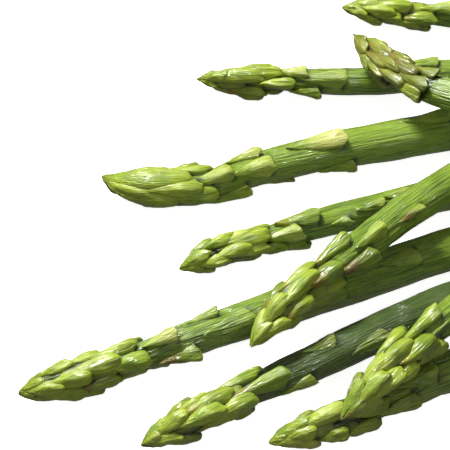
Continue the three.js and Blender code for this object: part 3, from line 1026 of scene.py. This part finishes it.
@dataclass(frozen=True)
class OiledSkin:
    """The skin of a cooked green asparagus spear under a film of oil: a bright, wrinkled, glossy green.

    Attributes:
        name: of the material.
        stem: colours of the stem, dark to light.
        leaf: colours of a scale leaf, dark to light.
        brown: the olive brown of a drying leaf.
        painted_shade_grey: the greyer green of painted shade on a stem.
        crevice: colour of the painted shade on the stem between the leaves of a head and behind their feet.
        pale: the yellowish foot of a leaf.
        blush: colours of dry apexes and edges, from golden to brown.
        rib: spacing of the skin's fine ribs, in millimetres.
        rib_run: how fast the ribs change along the spear, as a share of how fast they change across it.
        wrinkle: size of its wrinkles, in millimetres.
        wrinkle_run: how fast the wrinkles change along the spear, in the same way.
        crinkle: size of the finer crinkles in the oil's highlights, in millimetres.
        blotch: size of the lighter and darker areas, in millimetres.
        patch: size of the areas where the oil is crinkled, in millimetres.
        relief: depth of the ribs and wrinkles, in millimetres.
        ripple: depth of the oil's crinkles, in millimetres.
        glow: how far light spreads under the skin, in millimetres.
        browning: how brown the driest leaves are all over, from 0 to 1.
        oil: how much of the skin the oil covers.
    """

    name: str = "asparagus_skin_oiled"
    stem: tuple[str, str] = ("#4a6a22", "#92ae3a")
    leaf: tuple[str, str] = ("#708e26", "#b0c438")
    brown: str = "#7c7434"
    painted_shade_grey: str = "#455232"
    crevice: str = "#28341a"
    pale: str = "#dedc80"
    blush: tuple[str, str] = ("#b08c24", "#5c3c1a")
    rib: float = 0.6
    rib_run: float = 0.04
    wrinkle: float = 1.6
    wrinkle_run: float = 0.45
    crinkle: float = 0.8
    blotch: float = 8.3
    patch: float = 6.25
    relief: float = 0.18
    ripple: float = 0.42
    glow: float = 1.6
    browning: float = 0.2
    oil: float = 0.85

    def material(self) -> Finish:
        """Makes the material.

        Returns:
            The material.
        """
        made = bpy.data.materials.new(self.name)
        made.use_nodes = True
        tree = made.node_tree
        tree.nodes.clear()
        maps = self._maps(tree)
        colour = node(tree, MIX, {
            0: maps.leaf, 6: self._stem_colour(tree, maps), 7: self._leaf_colour(tree, maps),
        }, data_type="RGBA").outputs[2]
        colour = self._aged_and_shaded(tree, maps, colour)
        height = self._height(tree, maps)
        bump = node(tree, "ShaderNodeBump", {
            "Height": height, "Strength": 1.0, "Distance": self.relief * MM}).outputs[0]
        film = node(tree, "ShaderNodeBump", {
            "Height": self._oil_height(tree, maps, height), "Strength": 1.0, "Distance": self.ripple * MM,
        }).outputs[0]
        duller = node(tree, MATH, (maps.leaf, 0.1), operation="MULTIPLY").outputs[0]
        gloss = node(tree, RANGE, (maps.wrinkles, 0.3, 0.7, 0.18, 0.3)).outputs[0]
        gloss = node(tree, MATH, (gloss, duller), operation="ADD").outputs[0]
        # Light sinks a little into the green flesh, and the oil over it gives sharp, broken glints.
        shader = node(tree, "ShaderNodeBsdfPrincipled", {
            "Base Color": colour, "Roughness": gloss, "IOR": 1.4, "Specular IOR Level": 0.5, "Normal": bump,
            "Subsurface Weight": 0.2, "Subsurface Radius": (0.6, 1.0, 0.25),
            "Subsurface Scale": self.glow * MM, "Coat Weight": self.oil, "Coat Roughness": 0.1,
            "Coat IOR": 1.5, "Coat Normal": film,
        })
        node(tree, "ShaderNodeOutputMaterial", (shader.outputs[0],))
        return made

    def _maps(self, tree: Tree) -> SkinMaps:
        """Reads how the spear has grown, and draws the skin's patterns.

        Args:
            tree: the material's node tree.

        Returns:
            The sockets.
        """
        grain = node(tree, "ShaderNodeAttribute", attribute_name="grain").outputs["Vector"]
        growth = node(tree, "ShaderNodeAttribute", attribute_name="growth")
        part = node(tree, "ShaderNodeSeparateColor", (growth.outputs["Color"],))
        # The ribs run along the spear, so their pattern is drawn out 25 times lengthways.
        along = node(tree, "ShaderNodeMapping", {
            "Vector": grain, "Scale": (self.rib_run, 1.0, 1.0)}).outputs[0]
        short = node(tree, "ShaderNodeMapping", {
            "Vector": grain, "Scale": (self.wrinkle_run, 1.0, 1.0)}).outputs[0]
        ribs = node(tree, NOISE, {
            "Vector": along, "Scale": 1 / self.rib, "Detail": 2.0, "Roughness": 0.5, "Offset": 0.9,
            "Gain": 1.5}, noise_type="RIDGED_MULTIFRACTAL", normalize=True).outputs[0]
        wrinkles = node(tree, NOISE, {
            "Vector": short, "Scale": 1 / self.wrinkle, "Detail": 4.0, "Distortion": 0.6}).outputs[0]
        blotches = node(tree, NOISE, {"Vector": grain, "Scale": 1 / self.blotch, "Detail": 2.0}).outputs[0]
        return SkinMaps(
            grain=grain, short=short, leaf=part.outputs[0], rise=part.outputs[1], edge=part.outputs[2],
            tone=growth.outputs["Alpha"], ribs=ribs, wrinkles=wrinkles, blotches=blotches)

    def _stem_colour(self, tree: Tree, maps: SkinMaps) -> Socket:
        """Colours the stem: lighter on the ribs and in blotches, and darker and greyer where painted shade
        is laid on it.

        Args:
            tree: the material's node tree.
            maps: what the colour follows.

        Returns:
            The colour socket.
        """
        shade = node(tree, MATH, (maps.ribs, maps.blotches), operation="ADD").outputs[0]
        shade = node(tree, RANGE, (shade, 0.5, 1.45, 0.0, 1.0)).outputs[0]
        light = node(tree, RANGE, (maps.tone, 0.0, 1.0, -0.6, 0.6)).outputs[0]
        light = node(tree, MATH, (shade, light), operation="ADD").outputs[0]
        green = node(tree, MIX, {
            0: light, 6: linear(self.stem[0]), 7: linear(self.stem[1])}, data_type="RGBA").outputs[2]
        # Painted shade: where the stem's tone is below the middle, its green is darkened and greyed.
        painted_shade_grey = node(tree, RANGE, (maps.tone, 0.5, 0.0, 0.0, 0.75)).outputs[0]
        return node(tree, MIX, {0: painted_shade_grey, 6: green, 7: linear(self.painted_shade_grey)}, data_type="RGBA").outputs[2]

    def _leaf_colour(self, tree: Tree, maps: SkinMaps) -> Socket:
        """Colours the leaves: lighter on the ribs and in blotches, and browner where they are dry.

        Args:
            tree: the material's node tree.
            maps: what the colour follows.

        Returns:
            The colour socket.
        """
        light = node(tree, RANGE, (maps.blotches, 0.35, 0.65, 0.0, 0.7)).outputs[0]
        for source in ((maps.ribs, 0.3, 0.8, 0.0, 0.3), (maps.tone, 0.0, 1.0, 0.3, -0.3)):
            more = node(tree, RANGE, source).outputs[0]
            light = node(tree, MATH, (light, more), operation="ADD").outputs[0]
        green = node(tree, MIX, {
            0: light, 6: linear(self.leaf[0]), 7: linear(self.leaf[1])}, data_type="RGBA").outputs[2]
        browned = node(tree, RANGE, (maps.tone, 0.6, 1.0, 0.0, self.browning)).outputs[0]
        return node(tree, MIX, {0: browned, 6: green, 7: linear(self.brown)}, data_type="RGBA").outputs[2]

    def _aged_and_shaded(
        self, tree: Tree, maps: SkinMaps, colour: Socket,
    ) -> Socket:
        """Lays pale feet, dry apexes and edges, and painted shade in the crevices over the green.

        Args:
            tree: the material's node tree.
            maps: what the colours follow.
            colour: the green of stem and leaves.

        Returns:
            The colour socket.
        """
        foot = node(tree, RANGE, (maps.rise, 0.75, 0.15, 0.0, 1.0)).outputs[0]
        paleness = node(tree, RANGE, (maps.tone, 0.4, 0.0, 0.0, 0.85)).outputs[0]
        for share in (maps.leaf, paleness):
            foot = node(tree, MATH, (foot, share), operation="MULTIPLY").outputs[0]

        dryness = node(tree, RANGE, (maps.tone, 0.5, 1.0, 0.0, 1.0)).outputs[0]
        start = node(tree, RANGE, (dryness, 0.0, 1.0, 0.8, 0.2)).outputs[0]
        full = node(tree, MATH, (start, 0.35), operation="ADD").outputs[0]
        apex = node(tree, RANGE, (maps.rise, start, full, 0.0, 1.0)).outputs[0]
        rim = node(tree, RANGE, (maps.edge, 0.75, 1.0, 0.0, 0.4)).outputs[0]
        dry = node(tree, MATH, (apex, rim), operation="MAXIMUM").outputs[0]
        patchy = node(tree, RANGE, (maps.wrinkles, 0.4, 0.55, 0.5, 1.0)).outputs[0]
        enough = node(tree, RANGE, (dryness, 0.0, 0.7, 0.0, 1.0)).outputs[0]
        for share in (maps.leaf, patchy, enough):
            dry = node(tree, MATH, (dry, share), operation="MULTIPLY").outputs[0]
        drier = node(tree, RANGE, (dryness, 0.4, 1.0, 0.0, 1.0)).outputs[0]
        blush = node(tree, MIX, {
            0: drier, 6: linear(self.blush[0]), 7: linear(self.blush[1])}, data_type="RGBA").outputs[2]

        # Painted shade: the stem in a head's gaps and behind each leaf's foot is darkened towards the
        # crevice colour.
        gap = node(tree, "ShaderNodeAttribute", attribute_name="crevice").outputs["Fac"]
        gap = node(tree, RANGE, (gap, 0.0, 1.0, 0.0, 0.9)).outputs[0]
        for share, over in ((foot, linear(self.pale)), (dry, blush), (gap, linear(self.crevice))):
            colour = node(tree, MIX, {0: share, 6: colour, 7: over}, data_type="RGBA").outputs[2]
        return colour

    def _height(self, tree: Tree, maps: SkinMaps) -> Socket:
        """Raises the ribs, most on the stem, and the wrinkles, most on the leaves.

        Args:
            tree: the material's node tree.
            maps: what the relief follows.

        Returns:
            The height socket.
        """
        on_leaf = node(tree, RANGE, (maps.leaf, 0.0, 1.0, 1.0, 0.5)).outputs[0]
        ribs = node(tree, MATH, (maps.ribs, on_leaf), operation="MULTIPLY").outputs[0]
        on_leaf = node(tree, RANGE, (maps.leaf, 0.0, 1.0, 0.7, 1.0)).outputs[0]
        wrinkles = node(tree, MATH, (maps.wrinkles, on_leaf), operation="MULTIPLY").outputs[0]
        return node(tree, MATH, (ribs, wrinkles), operation="ADD").outputs[0]

    def _oil_height(
        self, tree: Tree, maps: SkinMaps, height: Socket,
    ) -> Socket:
        """Crinkles the oil in patches, and lets half of the skin's relief through.

        Args:
            tree: the material's node tree.
            maps: what the relief follows.
            height: of the skin's relief.

        Returns:
            The height socket.
        """
        crinkles = node(tree, NOISE, {
            "Vector": maps.short, "Scale": 1 / self.crinkle, "Detail": 3.0, "Distortion": 1.2}).outputs[0]
        patches = node(tree, NOISE, {
            "Vector": maps.grain, "Scale": 1 / self.patch, "Detail": 1.0}).outputs[0]
        patches = node(tree, RANGE, (patches, 0.46, 0.6, 0.25, 1.8)).outputs[0]
        on_leaf = node(tree, RANGE, (maps.leaf, 0.0, 1.0, 1.0, 0.75)).outputs[0]
        for share in (patches, on_leaf):
            crinkles = node(tree, MATH, (crinkles, share), operation="MULTIPLY").outputs[0]
        through = node(tree, MATH, (height, 0.5), operation="MULTIPLY").outputs[0]
        return node(tree, MATH, (crinkles, through), operation="ADD").outputs[0]


SKINS = {
    Freshness.FRESH: OiledSkin(),
    # A little browner, with finer wrinkles and less oil: the skin has begun to dry.
    Freshness.DRYING: OiledSkin(
        name="asparagus_skin_drying", leaf=("#6a7e28", "#aab43c"), brown="#7a6c30", pale="#b8be60",
        blush=("#9a7c30", "#664420"), wrinkle=1.1, crinkle=0.6, browning=0.6, oil=0.8),
}


@dataclass(frozen=True)
class CutFlesh:
    """The cut end of a spear: pale, moist and dotted with fibres.

    Attributes:
        name: of the material.
        flesh: colour between the fibres.
        fibre: colour of the fibres' ends.
        fibre_spacing: from one fibre to the next, in millimetres.
        fibre_edge: where a fibre's colour starts and ends to fade, in spacings from its middle.
    """

    name: str = "asparagus_flesh_cut"
    flesh: str = "#d5dba0"
    fibre: str = "#9bab5c"
    fibre_spacing: float = 1.1
    fibre_edge: tuple[float, float] = (0.1, 0.35)

    def material(self) -> Finish:
        """Makes the material.

        Returns:
            The material.
        """
        made = bpy.data.materials.new(self.name)
        made.use_nodes = True
        tree = made.node_tree
        tree.nodes.clear()
        grain = node(tree, "ShaderNodeAttribute", attribute_name="grain").outputs["Vector"]
        dots = node(tree, "ShaderNodeTexVoronoi", {
            "Vector": grain, "Scale": 1 / self.fibre_spacing}).outputs[0]
        between = node(tree, RANGE, (dots, *self.fibre_edge, 0.0, 1.0)).outputs[0]
        colour = node(tree, MIX, {
            0: between, 6: linear(self.fibre), 7: linear(self.flesh)}, data_type="RGBA").outputs[2]
        # Moist flesh has a soft shine.
        shader = node(tree, "ShaderNodeBsdfPrincipled", {"Base Color": colour, "Roughness": 0.4, "IOR": 1.4})
        node(tree, "ShaderNodeOutputMaterial", (shader.outputs[0],))
        return made


@dataclass(frozen=True)
class WhiteBoard:
    """Matt white board, which glows a little so that it stays white in the picture.

    Attributes:
        name: of the material.
        colour: of the board.
        glow: colour of its glow.
        glow_strength: of its glow.
        roughness: of its surface.
    """

    name: str = "matt_white_board"
    colour: str = "#f4f4f2"
    glow: str = "#ffffff"
    glow_strength: float = 0.9
    roughness: float = 0.8

    def material(self) -> Finish:
        """Makes the material.

        Returns:
            The material.
        """
        made = bpy.data.materials.new(self.name)
        made.use_nodes = True
        tree = made.node_tree
        tree.nodes.clear()
        # A high roughness gives no glints, so only the bundle shines.
        shader = node(tree, "ShaderNodeBsdfPrincipled", {
            "Base Color": linear(self.colour), "Roughness": self.roughness,
            "Emission Color": linear(self.glow), "Emission Strength": self.glow_strength,
        })
        node(tree, "ShaderNodeOutputMaterial", (shader.outputs[0],))
        return made


@dataclass(frozen=True)
class Lamp:
    """A square area light.

    Attributes:
        name: what it is called.
        power: in watts.
        place: where it stands, in metres.
        target: where it points, in metres.
        size: of a side, in metres.
    """

    name: str
    power: float
    place: tuple[float, float, float]
    target: tuple[float, float, float] = (-0.05, 0.0, 0.0)
    size: float = 0.2

    def build(self) -> None:
        """Places the light and points it at its target."""
        data = bpy.data.lights.new(self.name, "AREA")
        data.energy = self.power
        data.size = self.size
        lamp = bpy.data.objects.new(self.name, data)
        lamp.location = self.place
        aim = np.array(self.place) - np.array(self.target)
        aim /= np.linalg.norm(aim)
        lamp.rotation_euler = (math.acos(aim[2]), 0, math.atan2(aim[1], aim[0]) + math.pi / 2)
        bpy.context.collection.objects.link(lamp)


@dataclass(frozen=True)
class Studio:
    """The pale surface, the soft lights and the camera.

    The camera has a long lens that looks down on the heads, with the cut ends outside the picture.

    Attributes:
        elevation: degrees that the camera stands above the surface.
        distance: from the camera to its target, in millimetres.
        target: what the camera looks at, in millimetres.
        lens: its focal length, in millimetres.
        sensor: width of its sensor, in millimetres.
        board: side of the surface, in metres.
        board_drop: how far it lies under the bundle, in metres.
        lamps: a key light from high at the back left, and a weak fill from the front.
        room: colours of the room's light, from the side and from above.
        room_top: height of its direction from which the room's light is of the second colour.
        room_strength: how strong it is.
    """

    elevation: float = 50.0
    distance: float = 400.0
    target: tuple[float, float, float] = (-79.0, -10.0, 0.0)
    lens: float = 100.0
    sensor: float = 36.0
    board: float = 4.0
    board_drop: float = 0.0001
    lamps: tuple[Lamp, ...] = (
        Lamp("key", 15.8, (-0.42, 0.47, 0.82)),
        Lamp("fill", 0.7, (0.2, -0.7, 0.9)),
    )
    room: tuple[str, str] = ("#72706e", "#868484")
    room_top: float = 0.5
    room_strength: float = 0.88

    def build(self) -> None:
        """Sets up the camera, the surface, the lights and the room."""
        self._camera()
        self._surface()
        for lamp in self.lamps:
            lamp.build()
        self._room()

    def _camera(self) -> None:
        """Places the camera at the photograph's angle."""
        rise = math.radians(self.elevation)
        data = bpy.data.cameras.new("camera")
        data.lens = self.lens
        data.sensor_width = self.sensor
        seen_from = bpy.data.objects.new("camera", data)
        across, back, up = self.target
        back -= self.distance * math.cos(rise)
        up += self.distance * math.sin(rise)
        seen_from.location = (across * MM, back * MM, up * MM)
        seen_from.rotation_euler = (math.radians(90 - self.elevation), 0, 0)
        bpy.context.collection.objects.link(seen_from)
        bpy.context.scene.camera = seen_from

    def _surface(self) -> None:
        """Lays a large plain white surface under the bundle, which throws no light back on it."""
        bpy.ops.object.select_all(action="DESELECT")
        bpy.ops.mesh.primitive_plane_add(size=self.board, location=(0, 0, -self.board_drop))
        floor = bpy.context.object
        floor.name = "pale_surface"
        floor.data.materials.append(WhiteBoard().material())
        floor.visible_diffuse = False
        floor.visible_glossy = False

    def _room(self) -> None:
        """Lights the bundle softly from all round, as a room does, and keeps the colours plain."""
        world = bpy.data.worlds.new("soft_room")
        world.use_nodes = True
        tree = world.node_tree
        towards = node(tree, "ShaderNodeTexCoord").outputs["Generated"]
        up = node(tree, "ShaderNodeSeparateXYZ", (towards,)).outputs[2]
        share = node(tree, RANGE, (up, 0.0, self.room_top, 0.0, 1.0)).outputs[0]
        glow = node(tree, MIX, {
            0: share, 6: linear(self.room[0]), 7: linear(self.room[1])}, data_type="RGBA").outputs[2]
        tree.links.new(glow, tree.nodes["Background"].inputs["Color"])
        tree.nodes["Background"].inputs["Strength"].default_value = self.room_strength
        bpy.context.scene.world = world
        bpy.context.scene.view_settings.view_transform = "Standard"


def main() -> None:
    """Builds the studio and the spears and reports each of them."""
    Studio().build()
    log.info("the surface, the lights and the camera are in place")
    modelled = {form: ModelledLeaf(form) for form in LeafForm}
    skins = {freshness: skin.material() for freshness, skin in SKINS.items()}
    flesh = CutFlesh().material()
    for spear in SPEARS:
        piece = spear.build(modelled, skins[spear.freshness], flesh)
        log.info("%s: %d faces", piece.name, len(piece.data.polygons))


if __name__ == "__main__":
    main()
